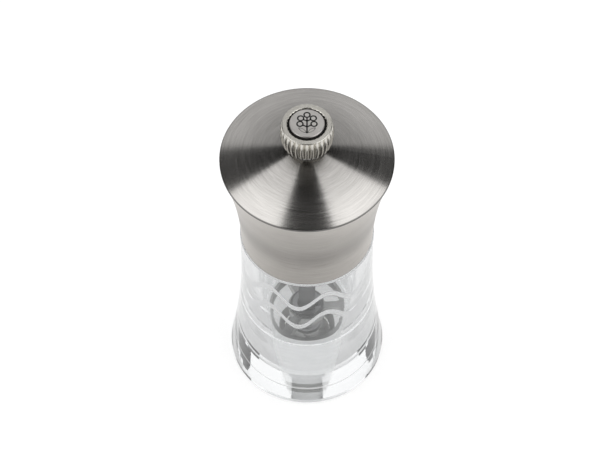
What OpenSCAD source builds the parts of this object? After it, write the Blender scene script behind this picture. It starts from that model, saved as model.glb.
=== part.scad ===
// Hand-turned pepper mill: a clear waisted body, a flared steel head and a screw-adjusted burr set.
// The frame: +Z is up along the grinding axis, and the origin is the centre of the foot's resting face.

/* [Body] */
// Height of the clear body, from the table to its joint with the head
body_h = 76; // [70:1:110]
// Radius of the foot
foot_r = 29.3; // [27:0.1:34]
// Height of the upright band round the foot
foot_band_h = 2.5; // [1:0.1:5]
// Chamfer round the foot's lower edge
foot_chamfer = 0.8; // [0.2:0.1:1]
// Radius at the waist
waist_r = 24.2; // [23.8:0.1:27]
// How far the narrowest part of the waist lies below the joint
waist_drop = 14; // [4:1:30]
// Rounding of the shoulder under the head
shoulder_round = 0.6; // [0.2:0.1:1]
// Radius of the neck that the head turns on
neck_r = 20.4; // [20.2:0.1:21.2]
// Height of the neck above the joint
neck_h = 14; // [10:1:18]

/* [Chamber] */
// Radius of the pepper chamber at its lower, narrow end
chamber_r = 16.5; // [15.8:0.1:16.8]
// Width of each waved ledge in the chamber wall
ledge_w = 0.9; // [0.4:0.1:1]
// Height of the lower waved ledge
ledge_low_z = 47; // [40:1:55]
// Distance between the two waved ledges
ledge_gap = 13; // [8:1:16]
// Height of the wave, from its middle to its crest
wave_h = 4.4; // [0:0.1:5]
// Number of waves round the chamber
wave_count = 6; // [3:1:9]
// Turn of the wave pattern about the axis
wave_turn = -99.5; // [-180:0.5:180]

/* [Head] */
// Height of the steel skirt, from the joint to the rim
head_h = 44; // [36:1:60]
// Radius of the rim
rim_r = 30.1; // [28:0.1:34]
// How far below the joint the skirt's curve would stand upright
skirt_drop = 4; // [0:1:10]
// How much slimmer the skirt is than the waist
skirt_step = 0.35; // [0.1:0.05:0.8]
// Thickness of the skirt's steel
skirt_t = 1; // [0.8:0.1:1.4]
// Gap between the skirt and the body's shoulder
head_gap = 0.3; // [0.2:0.1:0.6]
// Slope of the conical top
cone_slope = 15; // [8:1:25]
// Thickness of the conical top, which is also its upright edge
cone_t = 0.8; // [0.6:0.1:1.2]
// Radius of the flat land that the knob bears on
land_r = 6.8; // [6.2:0.1:8]
// Thickness of the core's ribs
rib_t = 1.6; // [1.2:0.1:2.5]
// Number of ribs in the core
rib_count = 6; // [3:1:8]
// Thickness of the core's web over the chamber
web_t = 2.4; // [1.6:0.1:4]
// Radius of the core's hub
hub_r = 9; // [8.4:0.1:11]

/* [Knob] */
// Radius of the knob over its flutes
knob_r = 9.2; // [8.6:0.1:11]
// Height of the knob's fluted grip
grip_h = 9.3; // [8:0.1:12]
// Height of the slim collar under the grip
collar_h = 3.3; // [2:0.1:5]
// Radius of that collar
collar_r = 5.6; // [5:0.1:6.2]
// Number of flutes
flute_count = 30; // [24:1:36]
// How far the grip's widest part lies below its top
knob_bulge_drop = 4.4; // [3:0.1:5]
// How much slimmer the grip is at its top than at its widest part
knob_top_taper = 0.7; // [0.5:0.05:0.9]
// Bevel round the grip's top
knob_bevel = 0.3; // [0.1:0.05:0.5]
// Radius of the grooves between the flutes
flute_groove_r = 0.45; // [0.3:0.05:0.6]
// Radius of the medallion
medallion_r = 5.9; // [4.5:0.1:6]
// Width of the dark gap round the medallion
medallion_gap = 0.85; // [0.4:0.05:1]
// How far the medallion stands above the knob
medallion_proud = 0.6; // [0:0.1:1]
// Line width of the medallion's sprig
inlay_w = 0.5; // [0.3:0.02:0.6]
// Depth of the sprig's enamel
inlay_depth = 0.25; // [0.15:0.05:0.4]

/* [Shaft] */
// Side of the square drive shaft
shaft_side = 6; // [5:0.1:6.4]
// Radius of the shaft's threaded end
thread_r = 2.5; // [2:0.1:2.6]
// Pitch of the thread
thread_pitch = 0.8; // [0.7:0.1:1]
// Travel of the burr from coarse to fine
burr_travel = 1.2; // [0.6:0.1:1.2]

/* [Grinding set] */
// Radius of the mechanism's housing
housing_r = 17.4; // [16.8:0.1:18.2]
// Height of the mechanism's pocket in the body
pocket_h = 30; // [28:1:34]
// Number of arms in the housing's bridge
arm_count = 3; // [3:1:4]
// Width of each arm
arm_w = 3.2; // [2.4:0.1:4]
// Thickness of the bridge
bridge_t = 4; // [3:0.1:5]
// Radius of the fixed grinding ring
ring_r = 14.3; // [13.8:0.1:14.6]
// Height of the fixed grinding ring
ring_h = 11; // [9:0.5:12]
// Radius of the grinding cone at its lower edge
burr_r = 11.2; // [10.4:0.1:11.6]
// Height of the grinding cone
burr_h = 12; // [10:0.5:13]
// Gap between cone and ring when set coarse
burr_gap = 0.75; // [0.7:0.05:1]
// Number of fine teeth on the cone and the ring
tooth_count = 30; // [20:1:36]
// Number of coarse flutes that draw the pepper in
feed_count = 6; // [4:1:8]
// Radius of the spring's wire
wire_r = 0.55; // [0.4:0.05:0.6]
// Number of turns of the spring
spring_turns = 4; // [3:0.5:4]

/* [Base plate] */
// Thickness of the plate that closes the mechanism's pocket
plate_t = 2.4; // [1.8:0.1:3]
// How far the plate is sunk into the foot
plate_sink = 0.6; // [0.3:0.1:1]
// Radius of the opening that the ground pepper falls through
outlet_r = 12.7; // [12.4:0.1:13.4]
// Number of screws in the plate
screw_count = 3; // [3:1:4]
// Radius of those screws
screw_r = 0.9; // [0.7:0.05:1]

/* [Fits] */
// Radial clearance of pieces fixed in each other
fit_gap = 0.05; // [0.03:0.01:0.1]
// Clearance of pieces that turn or slide on each other
run_gap = 0.08; // [0.05:0.01:0.15]
// Radial clearance between the neck and the head's core
neck_gap = 0.5; // [0.45:0.05:0.7]

/* [Hidden] */

eps = 0.01;
$fn = 96;
arc_fn = 720;

// Colours
clear_acrylic = [0.9, 0.93, 0.95, 0.35];
brushed_steel = [0.68, 0.67, 0.65];
hard_steel = [0.45, 0.45, 0.47];
black_plastic = [0.06, 0.06, 0.065];
pale_plastic = [0.88, 0.88, 0.86];
dark_rubber = [0.08, 0.08, 0.08];
black_enamel = [0.02, 0.02, 0.02];

// Radius of an arc that stands upright at one end and has moved out by `out` after `rise`
function flare_radius(rise, out) = (rise * rise + out * out) / (2 * out);
// How far that arc has moved out at a given height from its upright end
function flare_out(radius, rise) = radius - sqrt(radius * radius - rise * rise);

// Body
waist_z = body_h - waist_drop;
body_arc_r = flare_radius(waist_z - foot_band_h, foot_r - waist_r);
neck_top_z = body_h + neck_h;
ring_groove_z = body_h + neck_h / 2;
o_ring_section_r = 0.75;
o_ring_r = neck_r - 0.4;
pocket_r = housing_r + fit_gap;
chamber_mid_r = chamber_r + ledge_w;
chamber_top_r = chamber_mid_r + ledge_w;
ledge_high_z = ledge_low_z + ledge_gap;
wave_steps = 24 * wave_count;

// Base plate
plate_z = plate_sink;
plate_top_z = plate_z + plate_t;
screw_circle_r = (ring_r + housing_r) / 2;
screw_head_r = 1.5 * screw_r;
screw_head_h = screw_head_r - screw_r;
screw_len = 9;
screw_tip = 1;
screw_tip_r = 0.3;
outlet_bevel = 0.6;

// Grinding set, from the plate upwards
ring_z = plate_top_z;
ring_top_z = ring_z + ring_h;
burr_z = ring_z + 2;
burr_slope = 0.4;
burr_waist_h = 5;
burr_waist_r = burr_r - burr_slope * burr_waist_h;
burr_top_z = burr_z + burr_h;
ring_lip = 2.1;
ring_mouth_r = ring_r - ring_lip;
ring_tooth = 0.9;
cone_tooth = 0.7;
tooth_lean = 8;
feed_depth = 1.9;
feed_lean = 28;
feed_tilt = 20;
washer_t = 0.8;
stub_r = shaft_side / 3;
washer_r = 2.4 * stub_r;
nut_h = 2.3;
nut_flats = 3.5 * stub_r;
stub_proud = 0.3;
stub_end_z = burr_z - washer_t - nut_h - stub_proud;

// Housing and bridge
housing_wall = 2.2;
housing_bore_r = housing_r - housing_wall;
housing_top_z = pocket_h;
funnel_h = 4;
bridge_z = housing_top_z - bridge_t;
bridge_rim_r = housing_bore_r - fit_gap;
bridge_rim_w = 1.2;
corner_r = shaft_side / sqrt(2);
bush_bore_r = corner_r + run_gap;
bush_wall = 1.25;
bush_r = bush_bore_r + bush_wall;
bush_proud = 0.5;
bush_z = bridge_z - bush_proud;
bush_flange_w = 0.8;
bush_flange_t = 1;
bush_top_z = housing_top_z + bush_flange_t;
bridge_hub_wall = 1.5;
bridge_hub_r = bush_r + bridge_hub_wall;
spring_washer_t = 0.8;
spring_washer_z = bush_z - run_gap - spring_washer_t;
spring_gap = 0.5;
spring_r = corner_r + spring_gap + wire_r;
spring_seat_w = 0.35;
burr_top_r = spring_r + wire_r + spring_seat_w;
circlip_t = 0.6;
circlip_z = bush_top_z + 2 * run_gap;
circlip_bite = 0.65;
circlip_groove_r = corner_r - circlip_bite;
circlip_r = corner_r + 1.2;
circlip_mouth = 2.8;

// Head
joint_z = body_h + head_gap;
rim_z = body_h + head_h;
skirt_upright_z = body_h - skirt_drop;
skirt_foot_r = waist_r - skirt_step;
skirt_arc_r = flare_radius(rim_z - skirt_upright_z, rim_r - skirt_foot_r);
skirt_arc_x = skirt_foot_r + skirt_arc_r;
skirt_top_z = rim_z - cone_t;
edge_inset = 0.12;
land_z = rim_z + (rim_r - land_r) * tan(cone_slope);
neck_ring_t = 1.4;
neck_ring_inset = 0.3;
neck_ring_z = neck_top_z + run_gap;
web_z = neck_ring_z + neck_ring_t;
web_top_z = web_z + web_t;
sleeve_r = neck_r + neck_gap;
sleeve_z = joint_z + 0.6;
hub_bore_r = corner_r + 0.4;
drive_plate_t = 1.5;
drive_plate_r = hub_r + 0.5;
drive_plate_z = web_z - drive_plate_t;
drive_plate_gap = 0.12;
plate_screw_r = 0.9;
plate_screw_x = hub_bore_r + plate_screw_r + 0.75;
plate_screw_bite = 6;
plate_screw_head_r = 1.6;
plate_screw_head_h = 0.8;

// Knob
knob_washer_t = 0.5;
knob_washer_inset = 0.2;
collar_z = land_z + knob_washer_t;
grip_z = collar_z + collar_h;
grip_top_z = grip_z + grip_h;
knob_bulge_z = grip_top_z - knob_bulge_drop;
knob_arc_r = flare_radius(knob_bulge_drop, knob_top_taper);
knob_arc_x = knob_r - knob_arc_r;
knob_top_r = knob_r - knob_top_taper;
seat_pocket_r = medallion_r + medallion_gap;
seat_floor = 0.9;
medallion_t = 2.2;
medallion_bevel = 0.25;
medallion_top_z = grip_top_z + medallion_proud;
medallion_z = medallion_top_z - medallion_t;
seat_z = medallion_z - seat_floor;
seat_lip_drop = 0.7;
seat_lip_z = grip_top_z - seat_lip_drop;
knob_bore_r = thread_r + fit_gap;
knob_bore_top_z = seat_z - 1;

// Shaft
square_proud = 4;
thread_z = web_top_z + burr_travel + square_proud;
shaft_end_gap = 0.4;
shaft_top_z = knob_bore_top_z - burr_travel - shaft_end_gap;
shaft_chamfer = 0.5;
thread_depth = 0.28;
thread_run_out = 1;
thread_hole_r = thread_r + 0.4;
square_hole = shaft_side + 2 * fit_gap;

// --- helpers -------------------------------------------------------------

module ring(r_out, r_in, z, h) {
    translate([0, 0, z]) difference() {
        cylinder(r = r_out, h = h);
        translate([0, 0, -1]) cylinder(r = r_in, h = h + 2);
    }
}

module square_bar(side, z, h) {
    translate([-side / 2, -side / 2, z]) cube([side, side, h]);
}

module around(count) {
    for (i = [0 : count - 1]) rotate(360 * i / count) children();
}

// --- body ----------------------------------------------------------------

// Half outline of the clear body: foot, concave flare, waist, shoulder and neck
module body_outline() {
    difference() {
        union() {
            polygon([
                [0, 0], [foot_r - foot_chamfer, 0], [foot_r, foot_chamfer], [foot_r, foot_band_h],
                [foot_r, waist_z], [waist_r, waist_z], [waist_r, body_h - shoulder_round],
                [waist_r - shoulder_round, body_h], [neck_r, body_h], [neck_r, neck_top_z],
                [0, neck_top_z]
            ]);
            translate([waist_r - shoulder_round, body_h - shoulder_round]) circle(r = shoulder_round);
        }
        intersection() {
            translate([waist_r + body_arc_r, waist_z]) circle(r = body_arc_r, $fn = arc_fn);
            translate([waist_r, foot_band_h]) square([foot_r, waist_z - foot_band_h]);
        }
    }
}

// Everything above a surface that waves up and down round the axis
module above_wave(z, top, reach) {
    low = [for (i = [0 : wave_steps - 1]) let (turn = 360 * (i + 0.5) / wave_steps)
        [reach * cos(turn), reach * sin(turn), z - wave_h * cos(wave_count * (turn - wave_turn))]];
    high = [for (p = low) [p[0], p[1], top]];
    hub_low = 2 * wave_steps;
    hub_high = hub_low + 1;
    faces = [for (i = [0 : wave_steps - 1]) let (j = (i + 1) % wave_steps) each [
        [hub_low, i, j],
        [i, wave_steps + i, wave_steps + j],
        [i, wave_steps + j, j],
        [hub_high, wave_steps + j, wave_steps + i]
    ]];
    polyhedron(points = concat(low, high, [[0, 0, z], [0, 0, top]]), faces = faces);
}

// Chamber bore: it widens upwards in two waved ledges
module chamber() {
    top = neck_top_z + 1;
    translate([0, 0, pocket_h - eps]) cylinder(r = chamber_r, h = top - pocket_h + eps);
    intersection() {
        translate([0, 0, ledge_low_z - 2 * wave_h]) cylinder(r = chamber_mid_r, h = top);
        above_wave(ledge_low_z, top, chamber_top_r + 1);
    }
    intersection() {
        translate([0, 0, ledge_high_z - 2 * wave_h]) cylinder(r = chamber_top_r, h = top);
        above_wave(ledge_high_z, top, chamber_top_r + 2);
    }
}

module clear_body() color(clear_acrylic) difference() {
    rotate_extrude() body_outline();
    chamber();
    translate([0, 0, -1]) cylinder(r = pocket_r, h = pocket_h + 1);
    translate([0, 0, ring_groove_z]) rotate_extrude()
        translate([o_ring_r, 0]) circle(r = o_ring_section_r + fit_gap);
}

module neck_o_ring() color(dark_rubber)
    translate([0, 0, ring_groove_z]) rotate_extrude()
        translate([o_ring_r, 0]) circle(r = o_ring_section_r);

// --- grinding set --------------------------------------------------------

// Housing pressed into the body's pocket: it holds the ring below and the bridge above, round a funnel
module burr_housing() color(pale_plastic) difference() {
    translate([0, 0, ring_z]) cylinder(r = housing_r, h = housing_top_z - ring_z);
    translate([0, 0, ring_z - 1]) cylinder(r = ring_r + fit_gap, h = ring_h + 1);
    translate([0, 0, ring_top_z - eps])
        cylinder(r1 = ring_mouth_r, r2 = housing_bore_r, h = funnel_h + eps);
    translate([0, 0, ring_top_z + funnel_h - eps])
        cylinder(r = housing_bore_r, h = housing_top_z);
    around(screw_count) translate([screw_circle_r, 0, 0])
        cylinder(r = screw_r + fit_gap, h = plate_z + screw_len + 1);
}

// Bridge: arms that carry the bush in the middle of a rim pressed into the housing
module bridge() color(hard_steel) difference() {
    union() {
        ring(bridge_rim_r, bridge_rim_r - bridge_rim_w, bridge_z, bridge_t);
        around(arm_count) translate([0, -arm_w / 2, bridge_z])
            cube([bridge_rim_r - bridge_rim_w / 2, arm_w, bridge_t]);
        translate([0, 0, bridge_z]) cylinder(r = bridge_hub_r, h = bridge_t);
    }
    translate([0, 0, bridge_z - 1]) cylinder(r = bush_r + fit_gap, h = bridge_t + 2);
}

// Flanged bush that centres the square shaft by its corners
module guide_bush() color(brushed_steel) {
    ring(bush_r, bush_bore_r, bush_z, bush_top_z - bush_z);
    ring(bush_r + bush_flange_w, bush_bore_r, housing_top_z, bush_flange_t);
}

// Fixed ring: its throat narrows upwards over the cone, then opens into a mouth
module grinding_ring() color(hard_steel) {
    throat_z = burr_z + burr_waist_h;
    throat_r = burr_waist_r + burr_gap;
    difference() {
        translate([0, 0, ring_z]) cylinder(r = ring_r, h = ring_h);
        translate([0, 0, ring_z - eps]) cylinder(
            r1 = throat_r + burr_slope * (throat_z - ring_z + eps), r2 = throat_r,
            h = throat_z - ring_z + eps
        );
        translate([0, 0, throat_z - eps])
            cylinder(r1 = throat_r, r2 = ring_mouth_r, h = ring_top_z - throat_z + 2 * eps);
        around(tooth_count) translate([throat_r, 0, throat_z])
            rotate([0, -atan(burr_slope), 0]) rotate(45)
                translate([-ring_tooth / 2, -ring_tooth / 2, -ring_h])
                    cube([ring_tooth, ring_tooth, ring_h + 1]);
    }
}

// Turning cone: fine teeth round the skirt and coarse feed flutes above it
module grinding_cone() color(hard_steel) difference() {
    union() {
        translate([0, 0, burr_z])
            cylinder(r1 = burr_r, r2 = burr_waist_r, h = burr_waist_h);
        translate([0, 0, burr_z + burr_waist_h])
            cylinder(r1 = burr_waist_r, r2 = burr_top_r, h = burr_h - burr_waist_h);
    }
    square_bar(square_hole, burr_z - 1, burr_h + 2);
    around(tooth_count) translate([burr_r, 0, burr_z])
        rotate([0, -atan(burr_slope), 0]) rotate([tooth_lean, 0, 0]) rotate(45)
            translate([-cone_tooth / 2, -cone_tooth / 2, -1])
                cube([cone_tooth, cone_tooth, burr_waist_h + 1.6]);
    around(feed_count) translate([burr_waist_r, 0, burr_z + burr_waist_h - 1])
        rotate([feed_lean, 0, 0]) rotate([0, -feed_tilt, 0]) rotate(45)
            translate([-feed_depth / 2, -feed_depth / 2, 0])
                cube([feed_depth, feed_depth, burr_h]);
}

module burr_washer() color(brushed_steel)
    ring(washer_r, stub_r + run_gap, burr_z - washer_t, washer_t);

module burr_nut() color(brushed_steel)
    translate([0, 0, burr_z - washer_t - nut_h]) difference() {
        cylinder(r = nut_flats / sqrt(3), h = nut_h, $fn = 6);
        translate([0, 0, -1]) cylinder(r = stub_r + fit_gap, h = nut_h + 2);
    }

module spring_washer() color(brushed_steel) difference() {
    translate([0, 0, spring_washer_z]) cylinder(r = bridge_hub_r, h = spring_washer_t);
    square_bar(square_hole, spring_washer_z - 1, spring_washer_t + 2);
}

// Coil spring: a round wire swept along a helix between the cone and the washer
module burr_spring() color(brushed_steel) {
    sides = 10;
    steps_per_turn = 28;
    steps = ceil(steps_per_turn * spring_turns);
    z_low = burr_top_z + wire_r;
    z_high = spring_washer_z - wire_r;
    points = [for (i = [0 : steps], k = [0 : sides - 1])
        let (
            turn = 360 * spring_turns * i / steps,
            z = z_low + (z_high - z_low) * i / steps,
            r = spring_r + wire_r * cos(360 * k / sides)
        ) [r * cos(turn), r * sin(turn), z + wire_r * sin(360 * k / sides)]];
    skin = [for (i = [0 : steps - 1], k = [0 : sides - 1])
        let (a = i * sides + k, b = i * sides + (k + 1) % sides)
        each [[a, b + sides, b], [a, a + sides, b + sides]]];
    start_cap = [for (k = [0 : sides - 1]) k];
    end_cap = [for (k = [sides - 1 : -1 : 0]) steps * sides + k];
    polyhedron(points = points, faces = concat(skin, [start_cap, end_cap]));
}

// Square shaft: a stub for the nut below, a threaded end for the knob above
module drive_shaft() color(brushed_steel) difference() {
    union() {
        translate([0, 0, stub_end_z]) cylinder(r = stub_r, h = burr_z - stub_end_z + eps);
        square_bar(shaft_side, burr_z, thread_z - burr_z);
        translate([0, 0, thread_z - eps])
            cylinder(r = thread_r, h = shaft_top_z - thread_z - shaft_chamfer + eps);
        translate([0, 0, shaft_top_z - shaft_chamfer - eps])
            cylinder(r1 = thread_r, r2 = thread_r - shaft_chamfer, h = shaft_chamfer + eps);
    }
    ring(2 * shaft_side, circlip_groove_r, circlip_z - fit_gap, circlip_t + 2 * fit_gap);
    half_groove = 0.45 * thread_pitch;
    for (z = [land_z + thread_run_out : thread_pitch : shaft_top_z - shaft_chamfer - half_groove])
        translate([0, 0, z]) rotate_extrude() polygon([
            [thread_r + eps, -half_groove], [thread_r - thread_depth, 0], [thread_r + eps, half_groove]
        ]);
}

module shaft_circlip() color(hard_steel) translate([0, 0, circlip_z]) difference() {
    cylinder(r = circlip_r, h = circlip_t);
    translate([0, 0, -1]) cylinder(r = circlip_groove_r + fit_gap, h = circlip_t + 2);
    translate([0, -circlip_mouth / 2, -1]) cube([2 * corner_r, circlip_mouth, circlip_t + 2]);
}

// --- base plate ----------------------------------------------------------

module base_plate() color(brushed_steel) difference() {
    translate([0, 0, plate_z]) cylinder(r = housing_r, h = plate_t);
    translate([0, 0, plate_z - 1]) cylinder(r = outlet_r, h = plate_t + 2);
    translate([0, 0, plate_z - eps])
        cylinder(r1 = outlet_r + outlet_bevel, r2 = outlet_r, h = outlet_bevel);
    around(screw_count) translate([screw_circle_r, 0, 0]) {
        cylinder(r = screw_r + fit_gap, h = plate_top_z + 1);
        translate([0, 0, plate_z - eps])
            cylinder(r1 = screw_head_r + fit_gap, r2 = screw_r + fit_gap, h = screw_head_h);
    }
}

module cross_slot(width, length, depth) {
    for (a = [0, 90]) rotate(a) translate([-length / 2, -width / 2, -eps])
        cube([length, width, depth + eps]);
}

module base_plate_screws() color(hard_steel)
    around(screw_count) translate([screw_circle_r, 0, plate_z]) difference() {
        union() {
            cylinder(r1 = screw_head_r, r2 = screw_r, h = screw_head_h);
            cylinder(r = screw_r, h = screw_len - screw_tip);
            translate([0, 0, screw_len - screw_tip - eps])
                cylinder(r1 = screw_r, r2 = screw_tip_r, h = screw_tip);
        }
        cross_slot(0.45 * screw_r, 2 * screw_r, 0.5 * screw_r);
    }

// --- head ----------------------------------------------------------------

// Half outline of the space inside a skirt whose wall has been thinned by `inset`
module skirt_inside(z_low, z_high, inset) {
    difference() {
        translate([0, z_low]) square([rim_r, z_high - z_low]);
        translate([skirt_arc_x, skirt_upright_z]) circle(r = skirt_arc_r + inset, $fn = arc_fn);
    }
}

module head_skirt() color(brushed_steel) rotate_extrude() difference() {
    skirt_inside(joint_z, skirt_top_z, edge_inset);
    skirt_inside(joint_z - 1, skirt_top_z + 1, skirt_t);
}

module head_cone() color(brushed_steel) rotate_extrude() polygon([
    [thread_hole_r, land_z - cone_t], [land_r, land_z - cone_t], [rim_r - 1, rim_z - cone_t],
    [rim_r, rim_z - cone_t], [rim_r, rim_z], [land_r, land_z], [thread_hole_r, land_z]
]);

// Moulded core: sleeve over the neck, web over the chamber, hub and ribs under the cone
module head_core() color(black_plastic) difference() {
    under_cone_z = land_z - cone_t - fit_gap;
    under_rim_z = rim_z - cone_t - fit_gap;
    rotate_extrude() intersection() {
        skirt_inside(sleeve_z, under_cone_z, skirt_t + fit_gap);
        polygon([
            [0, web_z], [sleeve_r, web_z], [sleeve_r, sleeve_z], [rim_r, sleeve_z],
            [rim_r, under_rim_z], [rim_r - 1, under_rim_z], [land_r, under_cone_z], [0, under_cone_z]
        ]);
    }
    difference() {
        translate([0, 0, web_top_z]) cylinder(r = rim_r + 1, h = head_h);
        translate([0, 0, web_z]) cylinder(r = hub_r, h = 2 * head_h);
        around(rib_count) translate([0, -rib_t / 2, web_z]) cube([rim_r + 2, rib_t, 2 * head_h]);
    }
    translate([0, 0, web_z - 1]) cylinder(r = hub_bore_r, h = head_h + 2);
    for (a = [0, 180]) rotate(a) translate([plate_screw_x, 0, web_z - 1])
        cylinder(r = plate_screw_r + fit_gap, h = plate_screw_bite + 2);
}

module drive_plate() color(brushed_steel) difference() {
    translate([0, 0, drive_plate_z]) cylinder(r = drive_plate_r, h = drive_plate_t);
    square_bar(shaft_side + 2 * drive_plate_gap, drive_plate_z - 1, drive_plate_t + 2);
    for (a = [0, 180]) rotate(a) translate([plate_screw_x, 0, drive_plate_z - 1])
        cylinder(r = plate_screw_r + fit_gap, h = drive_plate_t + 2);
}

module drive_plate_screws() color(hard_steel)
    for (a = [0, 180]) rotate(a) translate([plate_screw_x, 0, drive_plate_z]) {
        translate([0, 0, -plate_screw_head_h]) difference() {
            cylinder(r = plate_screw_head_r, h = plate_screw_head_h);
            cross_slot(0.4, 2 * plate_screw_r, 0.5 * plate_screw_head_h);
        }
        translate([0, 0, -eps]) cylinder(r = plate_screw_r, h = drive_plate_t + plate_screw_bite);
    }

// Low-friction ring between the neck's rim and the web
module neck_ring() color(pale_plastic)
    ring(neck_r, chamber_top_r + neck_ring_inset, neck_ring_z, neck_ring_t);

module knob_washer() color(pale_plastic)
    ring(collar_r - knob_washer_inset, thread_hole_r, land_z, knob_washer_t);

// --- knob ----------------------------------------------------------------

// Barrel-shaped grip, closed by a bevelled top
module grip() rotate_extrude() intersection() {
    translate([knob_arc_x, knob_bulge_z]) circle(r = knob_arc_r, $fn = arc_fn);
    polygon([
        [0, grip_z], [knob_r + 1, grip_z], [knob_r + 1, grip_top_z - knob_bevel - 1],
        [knob_top_r, grip_top_z - knob_bevel], [knob_top_r - knob_bevel, grip_top_z],
        [0, grip_top_z]
    ]);
}

module adjusting_knob() color(brushed_steel) difference() {
    union() {
        difference() {
            grip();
            around(flute_count) translate([knob_arc_x, 0, knob_bulge_z]) rotate([90, 0, 0])
                rotate(-60) rotate_extrude(angle = 120, $fn = 48)
                    translate([knob_arc_r, 0]) circle(r = flute_groove_r, $fn = 24);
        }
        translate([0, 0, collar_z]) cylinder(r = collar_r, h = collar_h + 1);
    }
    translate([0, 0, collar_z - 1]) cylinder(r = knob_bore_r, h = knob_bore_top_z - collar_z + 1);
    translate([0, 0, seat_z]) cylinder(r = seat_pocket_r, h = grip_top_z);
}

module medallion_seat() color(black_plastic) difference() {
    translate([0, 0, seat_z]) cylinder(r = seat_pocket_r - fit_gap, h = seat_lip_z - seat_z);
    translate([0, 0, medallion_z]) cylinder(r = medallion_r + fit_gap, h = medallion_t);
}

// Generic sprig: a stem with berries and a pair of leaves
module sprig() {
    berry_r = 0.17 * medallion_r;
    berries = [[0, 0.58], [-0.36, 0.34], [0.36, 0.34], [-0.4, -0.06], [0.4, -0.06]];
    module stroke(a, b) {
        length = norm(b - a);
        translate(a) rotate(atan2(b[1] - a[1], b[0] - a[0]))
            translate([0, -inlay_w / 2]) square([length, inlay_w]);
    }
    module leaf(size) {
        intersection() {
            translate([size, 0]) circle(r = 1.25 * size);
            translate([-size, 0]) circle(r = 1.25 * size);
        }
    }
    stroke([0, -0.72 * medallion_r], [0, 0.58 * medallion_r - berry_r]);
    for (p = berries) {
        centre = p * medallion_r;
        foot = [0, centre[1] - 0.2 * medallion_r];
        reach = norm(centre - foot) - berry_r;
        if (p[0] != 0) stroke(foot, foot + (centre - foot) * reach / norm(centre - foot));
        translate(centre) difference() {
            circle(r = berry_r + inlay_w / 2);
            circle(r = berry_r - inlay_w / 2);
        }
    }
    for (side = [-1, 1]) translate([side * 0.26 * medallion_r, -0.5 * medallion_r])
        rotate(-side * 52) difference() {
            leaf(0.36 * medallion_r + inlay_w / 2);
            leaf(0.36 * medallion_r - inlay_w / 2);
        }
}

module medallion() color(brushed_steel) difference() {
    union() {
        translate([0, 0, medallion_z]) cylinder(r = medallion_r, h = medallion_t - medallion_bevel);
        translate([0, 0, medallion_top_z - medallion_bevel - eps])
            cylinder(r1 = medallion_r, r2 = medallion_r - medallion_bevel, h = medallion_bevel + eps);
    }
    translate([0, 0, medallion_top_z - inlay_depth]) linear_extrude(1) sprig();
}

module medallion_sprig() color(black_enamel)
    translate([0, 0, medallion_top_z - inlay_depth]) linear_extrude(inlay_depth) sprig();

// --- assembly ------------------------------------------------------------

clear_body();
neck_o_ring();
burr_housing();
bridge();
guide_bush();
grinding_ring();
base_plate();
base_plate_screws();
spring_washer();
burr_spring();
drive_shaft();
grinding_cone();
burr_washer();
burr_nut();
shaft_circlip();
head_skirt();
head_cone();
head_core();
drive_plate();
drive_plate_screws();
neck_ring();
knob_washer();
adjusting_knob();
medallion_seat();
medallion();
medallion_sprig();
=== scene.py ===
"""Pepper mill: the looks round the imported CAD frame. Metres, +Z up, origin at the centre of the foot."""
import math

import bmesh
import bpy
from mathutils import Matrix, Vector


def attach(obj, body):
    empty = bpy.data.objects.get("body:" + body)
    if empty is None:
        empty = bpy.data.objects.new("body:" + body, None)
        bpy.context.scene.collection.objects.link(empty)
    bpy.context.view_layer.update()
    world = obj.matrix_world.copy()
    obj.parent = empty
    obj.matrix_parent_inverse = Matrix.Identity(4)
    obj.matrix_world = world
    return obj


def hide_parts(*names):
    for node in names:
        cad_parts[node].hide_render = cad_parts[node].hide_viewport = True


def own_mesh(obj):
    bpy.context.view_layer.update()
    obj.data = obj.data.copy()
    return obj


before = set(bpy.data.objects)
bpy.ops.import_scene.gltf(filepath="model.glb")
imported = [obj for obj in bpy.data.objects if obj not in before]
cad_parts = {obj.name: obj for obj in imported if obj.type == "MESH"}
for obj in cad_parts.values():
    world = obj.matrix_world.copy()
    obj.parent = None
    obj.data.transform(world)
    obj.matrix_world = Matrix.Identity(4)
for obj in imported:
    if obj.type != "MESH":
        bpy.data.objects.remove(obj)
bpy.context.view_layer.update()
MM = 0.001


# --- camera ----------------------------------------------------------------

def add_camera():
    """A long lens that looks down on the cap at the photograph's angle."""
    elevation = math.radians(56.16)
    distance = 0.76027
    target = Vector((0, 0, 0.07862))
    camera = bpy.data.cameras.new("camera")
    camera.sensor_width = 36
    camera.lens = 127.0
    camera.shift_x = -7 / 600
    camera.clip_start = 0.01
    holder = bpy.data.objects.new("camera", camera)
    back = Vector((0, -math.cos(elevation), math.sin(elevation)))
    holder.location = target + distance * back
    holder.rotation_euler = back.to_track_quat("Z", "Y").to_euler()
    bpy.context.scene.collection.objects.link(holder)
    bpy.context.scene.camera = holder


add_camera()


# --- node trees --------------------------------------------------------------

NOISE_LOW = 0.3   # most of a noise texture's values lie between these two
NOISE_HIGH = 0.7


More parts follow.
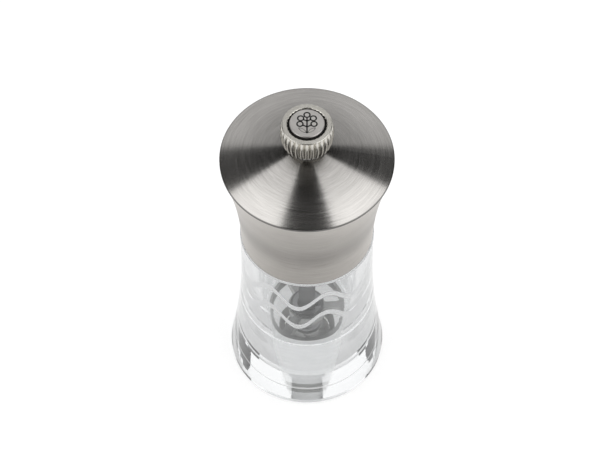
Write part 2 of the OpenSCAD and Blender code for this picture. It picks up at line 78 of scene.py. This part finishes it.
class Tree:
    """A node tree, with short calls for the nodes used here."""

    def __init__(self, tree):
        self.tree = tree

    def link(self, source, target):
        self.tree.links.new(source, target)

    def add(self, kind, **settings):
        node = self.tree.nodes.new(kind)
        for name, value in settings.items():
            setattr(node, name, value)
        return node

    def feed(self, node, *values):
        """Gives a node's inputs a number or a link each, in order."""
        for socket, value in zip(node.inputs, values):
            if isinstance(value, (int, float)):
                socket.default_value = value
            else:
                self.link(value, socket)

    def math(self, operation, a, b=0.0):
        node = self.add("ShaderNodeMath", operation=operation)
        self.feed(node, a, b)
        return node.outputs[0]

    def range(self, value, low, high, from_low=NOISE_LOW, from_high=NOISE_HIGH):
        """Maps from_low..from_high to low..high, and holds the ends."""
        node = self.add("ShaderNodeMapRange")
        self.link(value, node.inputs["Value"])
        node.inputs["From Min"].default_value = from_low
        node.inputs["From Max"].default_value = from_high
        node.inputs["To Min"].default_value = low
        node.inputs["To Max"].default_value = high
        return node.outputs["Result"]

    def stops(self, value, pairs):
        """A smooth grey level that passes through (value, level) pairs."""
        low, high = pairs[0][0], pairs[-1][0]
        node = self.add("ShaderNodeValToRGB")
        self.link(self.range(value, 0.0, 1.0, low, high), node.inputs[0])
        node.color_ramp.interpolation = "EASE"
        elements = node.color_ramp.elements
        while len(elements) < len(pairs):
            elements.new(0.5)
        for element, (place, level) in zip(elements, pairs):
            element.position = (place - low) / (high - low)
            element.color = (level, level, level, 1)
        return node.outputs["Color"]

    def scale(self, colour, level):
        node = self.add("ShaderNodeMixRGB", blend_type="MULTIPLY")
        node.inputs["Fac"].default_value = 1.0
        self.link(colour, node.inputs["Color1"])
        self.link(level, node.inputs["Color2"])
        return node.outputs["Color"]


class Nodes(Tree):
    """A material's node tree."""

    def __init__(self, name):
        self.material = bpy.data.materials.new(name)
        self.material.use_nodes = True
        super().__init__(self.material.node_tree)
        self.shader = self.tree.nodes["Principled BSDF"]

    def set(self, **values):
        for name, value in values.items():
            self.shader.inputs[name.replace("_", " ")].default_value = value

    def place(self):
        """Object coordinates: the whole vector, and its x, y and z sockets."""
        coordinates = self.add("ShaderNodeTexCoord")
        split = self.add("ShaderNodeSeparateXYZ")
        self.link(coordinates.outputs["Object"], split.inputs[0])
        return coordinates.outputs["Object"], split.outputs

    def join(self, x, y, z):
        node = self.add("ShaderNodeCombineXYZ")
        self.feed(node, x, y, z)
        return node.outputs[0]

    def noise(self, vector, scale, detail=3.0, roughness=0.5):
        node = self.add("ShaderNodeTexNoise")
        node.inputs["Scale"].default_value = scale
        node.inputs["Detail"].default_value = detail
        node.inputs["Roughness"].default_value = roughness
        self.link(vector, node.inputs["Vector"])
        return node.outputs["Fac"]

    def ramp(self, value, dark, light):
        """Blends between two colours over the usual span of a noise."""
        node = self.add("ShaderNodeValToRGB")
        node.color_ramp.elements[0].position = NOISE_LOW
        node.color_ramp.elements[1].position = NOISE_HIGH
        node.color_ramp.elements[0].color = (*dark, 1)
        node.color_ramp.elements[1].color = (*light, 1)
        self.link(value, node.inputs["Fac"])
        return node.outputs["Color"]

    def bump(self, height, strength, distance):
        node = self.add("ShaderNodeBump")
        node.inputs["Strength"].default_value = strength
        node.inputs["Distance"].default_value = distance
        self.link(height, node.inputs["Height"])
        self.link(node.outputs["Normal"], self.shader.inputs["Normal"])

    def round_tangent(self):
        """Brushing that runs round the Z axis."""
        node = self.add("ShaderNodeTangent", direction_type="RADIAL", axis="Z")
        self.link(node.outputs["Tangent"], self.shader.inputs["Tangent"])


# --- materials ---------------------------------------------------------------

BRUSH_STREAK = 2.2     # how soon a brushed line changes on its way round
BRUSH_LINE = 4200.0    # noise scale across the brushed lines, per metre
BRUSH_RELIEF = 0.6
AXIS_CLEAR = 0.0004    # keeps the division by the radius safe at the axis


def turned_steel(name, along, dark, light, rough, spread, painted_bands, painted_edge_sheen=1.0):
    """Steel brushed on a lathe: fine lines run round Z, close together across "radius" or "height".

    The bands are (place in metres, level) pairs across the lines: painted light and shade, the steel painted
    darker or brighter there.
    The last argument paints a sheen: how much brighter the steel is painted where it turns away.
    """
    n = Nodes(name)
    vector, (x, y, z) = n.place()
    radius = n.math("SQRT", n.math("ADD", n.math("MULTIPLY", x, x), n.math("MULTIPLY", y, y)))
    safe = n.math("MAXIMUM", radius, AXIS_CLEAR)
    turn_x = n.math("MULTIPLY", n.math("DIVIDE", x, safe), BRUSH_STREAK)
    turn_y = n.math("MULTIPLY", n.math("DIVIDE", y, safe), BRUSH_STREAK)
    across = radius if along == "radius" else z
    fine = n.noise(n.join(turn_x, turn_y, n.math("MULTIPLY", across, BRUSH_LINE)), 1.0, 4.0, 0.65)
    broad = n.noise(n.join(turn_x, turn_y, n.math("MULTIPLY", across, 0.3 * BRUSH_LINE)), 1.0, 2.0)
    cloud = n.noise(vector, 60.0, 3.0)
    mixed = n.math("ADD", n.math("MULTIPLY", fine, 0.65), n.math("MULTIPLY", broad, 0.35))
    tone = n.math("ADD", n.math("MULTIPLY", mixed, 0.8), n.math("MULTIPLY", cloud, 0.2))
    facing_for_sheen = n.add("ShaderNodeLayerWeight").outputs["Facing"]
    # Painted light and shade: the bands and the brighter turned-away edges scale the base colour.
    level = n.scale(n.stops(across, painted_bands), n.range(facing_for_sheen, 1.0, painted_edge_sheen, 0.48, 0.85))
    n.link(n.scale(n.ramp(tone, dark, light), level), n.shader.inputs["Base Color"])
    n.link(n.range(mixed, *rough), n.shader.inputs["Roughness"])
    n.set(Metallic=1.0, Anisotropic=spread, Anisotropic_Rotation=0.25)
    n.round_tangent()
    n.bump(mixed, BRUSH_RELIEF, 0.000003)
    return n.material


def plain_steel(name, dark, light, rough, scale=900.0, relief=0.2):
    """Machined or plated steel with a fine uneven grain."""
    n = Nodes(name)
    vector, _ = n.place()
    grain = n.noise(vector, scale, 4.0, 0.6)
    cloud = n.noise(vector, 120.0, 2.0)
    n.link(n.ramp(cloud, dark, light), n.shader.inputs["Base Color"])
    n.link(n.range(grain, *rough), n.shader.inputs["Roughness"])
    n.set(Metallic=1.0)
    n.bump(grain, relief, 0.000004)
    return n.material


MOULD_GRAIN = 1400.0
MOULD_RELIEF = 0.3


def moulded(name, dark, light, rough, shine=0.5):
    """Moulded plastic or rubber with a fine skin."""
    n = Nodes(name)
    vector, _ = n.place()
    skin = n.noise(vector, MOULD_GRAIN, 3.0)
    cloud = n.noise(vector, 90.0, 2.0)
    n.link(n.ramp(cloud, dark, light), n.shader.inputs["Base Color"])
    n.link(n.range(skin, *rough), n.shader.inputs["Roughness"])
    n.set(Specular_IOR_Level=shine)
    n.bump(skin, MOULD_RELIEF, 0.00003)
    return n.material


def clear_acrylic(name):
    """Thick polished acrylic with a faint haze of handling marks."""
    n = Nodes(name)
    vector, _ = n.place()
    haze = n.noise(vector, 260.0, 4.0, 0.7)
    n.link(n.range(haze, 0.0, 0.03, 0.45, 0.75), n.shader.inputs["Roughness"])
    n.set(Base_Color=(0.9, 0.91, 0.915, 1), IOR=1.49, Transmission_Weight=1.0)
    return n.material


def pale_glowing_plastic(name, light):
    """Pale plastic with a painted glow: its emission stands in for the table's light reaching it inside the
    mill.
    """
    n = Nodes(name)
    vector, _ = n.place()
    cloud = n.noise(vector, 220.0, 3.0)
    n.link(n.ramp(cloud, (0.86, 0.87, 0.87), (0.95, 0.95, 0.95)), n.shader.inputs["Base Color"])
    n.link(n.range(cloud, 0.35, 0.5), n.shader.inputs["Roughness"])
    n.set(Emission_Color=(1, 1, 1, 1), Emission_Strength=light)
    return n.material


TABLE_DIRECT = 0.75
TABLE_THROUGH = 0.55    # the table's light where it is seen through the acrylic
PANEL_THROUGH = 0.8     # the share of a panel's light that is seen through the acrylic


def light_table(name):
    """A white table lit from below, so that it is bright under the mill as well."""
    n = Nodes(name)
    n.set(Base_Color=(0.3, 0.3, 0.3, 1), Roughness=0.7, Specular_IOR_Level=0.1, Emission_Color=(1, 1, 1, 1))
    path = n.add("ShaderNodeLightPath")
    strength = n.range(path.outputs["Is Transmission Ray"], TABLE_DIRECT, TABLE_THROUGH, 0, 1)
    n.link(strength, n.shader.inputs["Emission Strength"])
    return n.material


def glow(name, strength):
    """A soft panel of light, dimmer where it is seen through the acrylic."""
    material = bpy.data.materials.new(name)
    material.use_nodes = True
    t = Tree(material.node_tree)
    t.tree.nodes.clear()
    path = t.add("ShaderNodeLightPath")
    emission = t.add("ShaderNodeEmission")
    level = t.range(path.outputs["Is Transmission Ray"], strength, PANEL_THROUGH * strength, 0, 1)
    t.link(level, emission.inputs["Strength"])
    output = t.add("ShaderNodeOutputMaterial")
    t.link(emission.outputs[0], output.inputs["Surface"])
    return material


# --- meshes ------------------------------------------------------------------

def corner_arc(before, corner, after, radius, steps=6):
    """Points that round one corner of an outline, in millimetres."""
    corner = Vector(corner)
    a = (Vector(before) - corner).normalized()
    b = (Vector(after) - corner).normalized()
    half = 0.5 * math.acos(max(-1, min(1, a.dot(b))))
    reach = radius / math.tan(half)
    centre = corner + (a + b).normalized() * radius / math.sin(half)
    start = corner + a * reach - centre
    end = corner + b * reach - centre
    sweep = start.angle_signed(end)
    points = []
    for i in range(steps + 1):
        angle = -sweep * i / steps
        c, s = math.cos(angle), math.sin(angle)
        points.append((centre.x + c * start.x - s * start.y, centre.y + s * start.x + c * start.y))
    return points


def outline(points):
    """An outline from (r, z) or (r, z, rounding) points, in millimetres."""
    shaped = []
    count = len(points)
    for i, p in enumerate(points):
        if len(p) == 3 and p[2] > 0:
            shaped += corner_arc(points[i - 1][:2], p[:2], points[(i + 1) % count][:2], p[2])
        else:
            shaped.append(tuple(p[:2]))
    return shaped


def flare(low, high, upright_z, radius, upright_r, steps=24):
    """Points on a concave arc that stands upright at one height."""
    points = []
    for i in range(steps + 1):
        z = low + (high - low) * i / steps
        rise = z - upright_z
        points.append((upright_r + radius - math.sqrt(radius * radius - rise * rise), z))
    return points


def held(points, gap=0.05, span=1.0):
    """Adds a point just inside each end of every long straight, so that its shading stays flat."""
    out = []
    for (r0, z0), (r1, z1) in zip(points, points[1:] + points[:1]):
        out.append((r0, z0))
        length = math.hypot(r1 - r0, z1 - z0)
        if length > span:
            step_r, step_z = gap * (r1 - r0) / length, gap * (z1 - z0) / length
            out += [(r0 + step_r, z0 + step_z), (r1 - step_r, z1 - step_z)]
    return out


def lathe(name, points, segments=192, wave=None, sharp=28, cut=None):
    """Turns a closed outline round Z. wave() may raise a point, and cut() may move it inwards."""
    mesh = bpy.data.meshes.new(name)
    bm = bmesh.new()
    rings = []
    for r, z in held(points):
        if r < 1e-6:
            rings.append([bm.verts.new((0, 0, z * MM))] * segments)
            continue
        ring = []
        for k in range(segments):
            angle = 2 * math.pi * k / segments
            height = z + (wave(r, z, angle) if wave else 0)
            reach = r - (cut(r, z, angle) if cut else 0)
            x, y = reach * MM * math.cos(angle), reach * MM * math.sin(angle)
            ring.append(bm.verts.new((x, y, height * MM)))
        rings.append(ring)
    for low, high in zip(rings, rings[1:] + rings[:1]):
        if low[0] is low[1] and high[0] is high[1]:
            continue
        for k in range(segments):
            j = (k + 1) % segments
            corners = [low[k], low[j], high[j], high[k]]
            bm.faces.new([v for i, v in enumerate(corners) if v is not corners[i - 1]])
    bmesh.ops.recalc_face_normals(bm, faces=bm.faces)
    bm.to_mesh(mesh)
    bm.free()
    return show(name, mesh, sharp)


def show(name, mesh, sharp):
    """Puts a smooth-shaded mesh in the scene, with creases over the sharp angle in degrees."""
    mesh.polygons.foreach_set("use_smooth", [True] * len(mesh.polygons))
    mesh.set_sharp_from_angle(angle=math.radians(sharp))
    piece = bpy.data.objects.new(name, mesh)
    bpy.context.scene.collection.objects.link(piece)
    return piece


def dress(piece, material, body, slot, *nodes):
    """Gives a piece its material and its body, and hides the CAD nodes that it stands in for. The slot is not
    used.
    """
    piece.data.materials.clear()
    piece.data.materials.append(material)
    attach(piece, body)
    if nodes:
        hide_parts(*nodes)
    return piece


# --- clear body --------------------------------------------------------------

FOOT_R = 29.3
FOOT_BAND = 2.5
WAIST_R = 24.2
WAIST_Z = 62.0
JOINT_Z = 76.0
NECK_R = 20.4
NECK_TOP = 90.0
POCKET_R = 17.45
POCKET_TOP = 30.0
CHAMBER_R = 16.5
LEDGE = 0.9
LEDGE_RISE = 4.0
FOOT_ROUND = 0.8
LEDGE_LOW = 47.0
LEDGE_HIGH = 60.0
WAVE_H = 4.4
WAVE_COUNT = 6
WAVE_TURN = math.radians(-99.5)
WALL_MARGIN = 0.05


def arc_radius(rise, out):
    """The radius of an arc that leaves its tangent by out over the given rise."""
    return (rise * rise + out * out) / (2 * out)


def chamber_wave(r, z, angle):
    """The two ledges wave up and down; the wall above and below them doesn't."""
    if r > CHAMBER_R + 2 * LEDGE + WALL_MARGIN:
        return 0
    near = min(abs(z - LEDGE_LOW), abs(z - LEDGE_HIGH))
    if near > LEDGE_RISE:
        return 0
    return -WAVE_H * math.cos(WAVE_COUNT * (angle - WAVE_TURN))


def make_body():
    """The acrylic body: foot, concave side, neck, the two waved ledges of the chamber, and the pocket."""
    arc = arc_radius(WAIST_Z - FOOT_BAND, FOOT_R - WAIST_R)
    side = flare(FOOT_BAND, WAIST_Z, WAIST_Z, arc, WAIST_R)
    foot = outline([
        (POCKET_R, 1), (POCKET_R, 0, 0.25), (FOOT_R, 0, FOOT_ROUND), (FOOT_R, FOOT_BAND)])
    neck = outline([
        (WAIST_R, WAIST_Z), (WAIST_R, JOINT_Z, 0.6), (NECK_R, JOINT_Z, 0.3), (NECK_R, NECK_TOP, 0.3),
        (CHAMBER_R + 2 * LEDGE, NECK_TOP, 0.3), (CHAMBER_R + 2 * LEDGE, LEDGE_HIGH)])
    ledges = ledge(LEDGE_HIGH, CHAMBER_R + 2 * LEDGE) + ledge(LEDGE_LOW, CHAMBER_R + LEDGE)
    pocket = [(CHAMBER_R, POCKET_TOP), (POCKET_R, POCKET_TOP)]
    points = foot[1:-1] + side + neck[1:-1] + ledges + pocket
    body = lathe("body_clear_acrylic", points, 288, chamber_wave)
    return dress(body, clear_acrylic("acrylic"), "body", "clear_acrylic", "clear_body")


def ledge(z, r, steps=12):
    """One waved ledge as a soft step inwards, from r down to r - LEDGE."""
    points = []
    for i in range(steps + 1):
        t = i / steps
        ease = t * t * (3 - 2 * t)
        points.append((r - LEDGE * ease, z + LEDGE_RISE * (0.5 - t)))
    return points


# --- knob --------------------------------------------------------------------

COLLAR_R = 5.6
COLLAR_Z = 126.743
GRIP_Z = 130.043
GRIP_TOP = 139.343
KNOB_R = 9.2
BULGE_DROP = 4.4
TOP_TAPER = 0.7
BEVEL = 0.3
SEAT_R = 6.75
SEAT_Z = 136.843
BORE_R = 2.55
BORE_TOP = 135.843
FLUTE_COUNT = 30
FLUTE_DEPTH = 0.7
FLUTE_START = 0.4      # the flutes run out this far beyond the collar
FLUTE_TOP_CLEAR = 0.2
GRIP_EDGE = 0.35       # height of the rounded lower edge of the grip


def flute(r, z, angle):
    """How deep the flutes cut at one point: wide round ridges with narrow grooves between them."""
    turn = FLUTE_COUNT * angle / (2 * math.pi)
    to_groove = 2 * abs(turn - math.floor(turn) - 0.5)
    reach = (r - COLLAR_R - FLUTE_START) / (KNOB_R - TOP_TAPER - COLLAR_R - FLUTE_START)
    if z > GRIP_TOP - FLUTE_TOP_CLEAR:
        return 0
    return FLUTE_DEPTH * to_groove ** 2 * max(0, min(1, reach))


def make_knob(material):
    """The knob: collar, fluted barrel, and the seat and bore inside it."""
    bulge_z = GRIP_TOP - BULGE_DROP
    arc = arc_radius(BULGE_DROP, TOP_TAPER)
    barrel = []
    steps = 22
    for i in range(steps + 1):
        z = GRIP_Z + GRIP_EDGE + (GRIP_TOP - BEVEL - GRIP_Z - GRIP_EDGE) * i / steps
        rise = z - bulge_z
        barrel.append((KNOB_R - arc + math.sqrt(arc * arc - rise * rise), z))
    top_r = barrel[-1][0]
    foot_r = barrel[0][0]
    points = [(BORE_R, COLLAR_Z), (COLLAR_R - 0.2, COLLAR_Z), (COLLAR_R, COLLAR_Z + 0.2)]
    points += [(COLLAR_R, GRIP_Z), (foot_r - 0.6, GRIP_Z), (foot_r - 0.2, GRIP_Z + 0.12)]
    points += barrel
    points += [(top_r - 0.1, GRIP_TOP - 0.1), (top_r - BEVEL, GRIP_TOP), (SEAT_R + 0.15, GRIP_TOP)]
    points += [(SEAT_R, GRIP_TOP - 0.15), (SEAT_R, SEAT_Z), (0, SEAT_Z), (0, BORE_TOP), (BORE_R, BORE_TOP)]
    knob = lathe("knob_fluted", points, 16 * FLUTE_COUNT, None, 50, flute)
    return dress(knob, material, "knob", "brushed_steel", "adjusting_knob")


# --- spring ------------------------------------------------------------------

SPRING_R = 5.293
WIRE_R = 0.55
SPRING_LOW = 17.55
SPRING_HIGH = 24.07
SPRING_TURNS = 4


def make_spring(material, sides=16, per_turn=64):
    """A coil of round wire, held between the burr and the washer. The real spring shortens as the burr rises;
    this coil keeps one length.
    """
    bm = bmesh.new()
    rings = []
    steps = SPRING_TURNS * per_turn
    for i in range(steps + 1):
        turn = 2 * math.pi * i / per_turn
        height = SPRING_LOW + (SPRING_HIGH - SPRING_LOW) * i / steps
        ring = []
        for k in range(sides):
            side = 2 * math.pi * k / sides
            r = SPRING_R + WIRE_R * math.cos(side)
            z = height + WIRE_R * math.sin(side)
            ring.append(bm.verts.new((r * MM * math.cos(turn), r * MM * math.sin(turn), z * MM)))
        rings.append(ring)
    for low, high in zip(rings, rings[1:]):
        for k in range(sides):
            j = (k + 1) % sides
            bm.faces.new([low[k], low[j], high[j], high[k]])
    bm.faces.new(rings[0])
    bm.faces.new(rings[-1])
    bmesh.ops.recalc_face_normals(bm, faces=bm.faces)
    mesh = bpy.data.meshes.new("burr_spring_coil")
    bm.to_mesh(mesh)
    bm.free()
    spring = show("burr_spring_coil", mesh, 50)
    dress(spring, material, "drive", "fastener_steel", "burr_spring")
    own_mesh(spring)


# --- stage -------------------------------------------------------------------

FLOOR_GAP = 0.0002     # keeps the floor just clear of the foot
PANEL_BASE = 0.12      # the height that the panels' corners fan out from


def add_floor():
    """A wide pale floor under the mill."""
    mesh = bpy.data.meshes.new("floor")
    reach = 6.0
    corners = [(-reach, -reach, 0), (reach, -reach, 0), (reach, reach, 0), (-reach, reach, 0)]
    mesh.from_pydata(corners, [], [(0, 1, 2, 3)])
    floor = bpy.data.objects.new("floor", mesh)
    floor.location.z = -FLOOR_GAP
    floor.data.materials.append(light_table("table_white"))
    bpy.context.scene.collection.objects.link(floor)


def add_softbox(name, corners, height, strength):
    """A flat panel of light over the mill. Corners are (x, y) per unit of height, in order."""
    mesh = bpy.data.meshes.new(name)
    points = [(x * height, y * height, height) for x, y in corners]
    mesh.from_pydata(points, [], [tuple(range(len(corners)))])
    panel = bpy.data.objects.new(name, mesh)
    panel.location.z = PANEL_BASE
    panel.data.materials.append(glow(name, strength))
    bpy.context.scene.collection.objects.link(panel)


def add_world():
    """A dark studio with a white backdrop behind the mill.

    What the camera sees directly is white. What shows through the acrylic is lighter than what metal mirrors.
    """
    world = bpy.data.worlds.new("studio")
    bpy.context.scene.world = world
    world.use_nodes = True
    w = Tree(world.node_tree)
    coordinates = w.add("ShaderNodeTexCoord")
    split = w.add("ShaderNodeSeparateXYZ")
    w.link(coordinates.outputs["Generated"], split.inputs[0])
    x, y, z = split.outputs
    side = w.math("ADD", w.math("MULTIPLY", w.math("ABSOLUTE", x), 0.5), w.math("MULTIPLY", z, 0.43))
    backdrop = w.range(w.math("SUBTRACT", w.math("MULTIPLY", y, 0.75), side), 0.012, 0.57, -0.03, 0.03)
    horizon = w.range(z, 0.5, 0.012, 0.02, 0.2)
    mirrored = w.math("MAXIMUM", backdrop, horizon)
    through = w.range(z, 0.85, 0.05, 0.15, 0.7)
    path = w.add("ShaderNodeLightPath")
    level = w.math("MAXIMUM", mirrored, w.math("MULTIPLY", path.outputs["Is Transmission Ray"], through))
    level = w.math("MAXIMUM", level, path.outputs["Is Camera Ray"])
    w.link(level, w.tree.nodes["Background"].inputs["Color"])


def add_lamp(name, place, size, power):
    """A soft lamp for the floor and the plastics. Metal and acrylic see the panels and the sky instead."""
    data = bpy.data.lights.new(name, "AREA")
    data.shape = "DISK"
    data.size = size
    data.energy = power
    lamp = bpy.data.objects.new(name, data)
    lamp.location = place
    lamp.rotation_euler = (Vector(place) - Vector((0, 0, 0.06))).to_track_quat("Z", "Y").to_euler()
    lamp.visible_glossy = False
    lamp.visible_transmission = False
    bpy.context.scene.collection.objects.link(lamp)


def add_light():
    """The studio, two panels whose edges draw the sectors on the cone, and a soft lamp."""
    add_world()
    height = 1.3
    strength = 1.35
    left = [(0.0, 0.66), (-0.475, 0.42), (-0.9, 0.32), (-1.63, 0.257), (-3.0, 0.27), (-3.0, -1.6),
            (-1.6, -2.4), (-0.44, -1.0), (-0.17, 0.08)]
    right = [(0.0, 0.66), (0.165, 0.10), (0.45, -1.0), (1.6, -2.4), (3.0, -1.6), (3.0, 0.5),
             (1.76, 0.42), (0.945, 0.408), (0.497, 0.469)]
    add_softbox("softbox_left", left, height, strength)
    add_softbox("softbox_right", right, height, strength)
    add_lamp("floor_lamp", (0.0, 0.2, 1.2), size=1.6, power=9.0)


# --- build -------------------------------------------------------------------

STEEL_DARK = (0.46, 0.445, 0.425)
STEEL_LIGHT = (0.72, 0.70, 0.675)
# The skirt's steel is set darker than the cone's: painted shade, a shaded copy of the same steel.
SKIRT_DARK = (0.268, 0.252, 0.234)
SKIRT_LIGHT = (0.425, 0.405, 0.38)

make_body()
# The cone's bands paint shade darker near the knob, light brighter towards the rim, and a dark shaded line at
# the rim's edge.
cone_steel = turned_steel(
    "cone_steel", "radius", STEEL_DARK, STEEL_LIGHT, (0.2, 0.26), 0.96,
    [(0.007, 0.5), (0.015, 0.75), (0.027, 1.05), (0.0297, 1.05), (0.0301, 0.25)])
# The skirt's bands paint a darker band of shade round 94 mm up, and its turned-away edges get a painted sheen
# half again as bright.
skirt_steel = turned_steel(
    "skirt_steel", "height", SKIRT_DARK, SKIRT_LIGHT, (0.26, 0.38), 0.75,
    [(0.076, 1.0), (0.084, 0.95), (0.094, 0.68), (0.104, 0.86), (0.119, 1.0)], painted_edge_sheen=1.5)
knob_steel = plain_steel("knob_steel", (0.60, 0.58, 0.53), (0.72, 0.70, 0.65), (0.2, 0.28), 1600, 0.15)
medal_steel = plain_steel("medal_steel", (0.57, 0.55, 0.53), (0.70, 0.68, 0.655), (0.34, 0.44), 2200, 0.2)
make_knob(knob_steel)
bolt_steel = plain_steel("bolt_steel", (0.35, 0.35, 0.36), (0.5, 0.5, 0.51), (0.28, 0.4))
make_spring(bolt_steel)
burr_steel = plain_steel("burr_steel", (0.48, 0.48, 0.47), (0.6, 0.6, 0.59), (0.35, 0.5))
shaft_steel = plain_steel("shaft_steel", (0.14, 0.14, 0.14), (0.24, 0.24, 0.24), (0.3, 0.42))
black = moulded("black_moulding", (0.012, 0.012, 0.013), (0.02, 0.02, 0.022), (0.4, 0.55))
pale = moulded("pale_moulding", (0.8, 0.8, 0.78), (0.88, 0.88, 0.86), (0.4, 0.5))
rubber = moulded("ring_rubber", (0.015, 0.015, 0.015), (0.03, 0.03, 0.03), (0.5, 0.6))
enamel = moulded("black_enamel", (0.003, 0.003, 0.003), (0.006, 0.006, 0.006), (0.3, 0.4), 0.12)

FINISHES = {
    "head_cone": cone_steel, "head_skirt": skirt_steel, "adjusting_knob": knob_steel,
    "medallion": medal_steel, "medallion_seat": enamel, "medallion_sprig": enamel,
    # The burr housing's pale plastic gets a painted glow.
    "head_core": black, "drive_shaft": shaft_steel, "burr_housing": pale_glowing_plastic("housing_painted_glow", 0.3),
    "neck_ring": pale,
    "knob_washer": pale, "grinding_ring": burr_steel, "bridge": burr_steel, "guide_bush": shaft_steel,
    "grinding_cone": burr_steel, "base_plate": pale, "neck_o_ring": rubber,
}
for name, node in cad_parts.items():
    finish = FINISHES.get(name, bolt_steel)
    node.data.materials.clear()
    node.data.materials.append(finish)

add_floor()
add_light()
bpy.context.scene.view_settings.view_transform = "Standard"
bpy.context.scene.cycles.glossy_bounces = 12
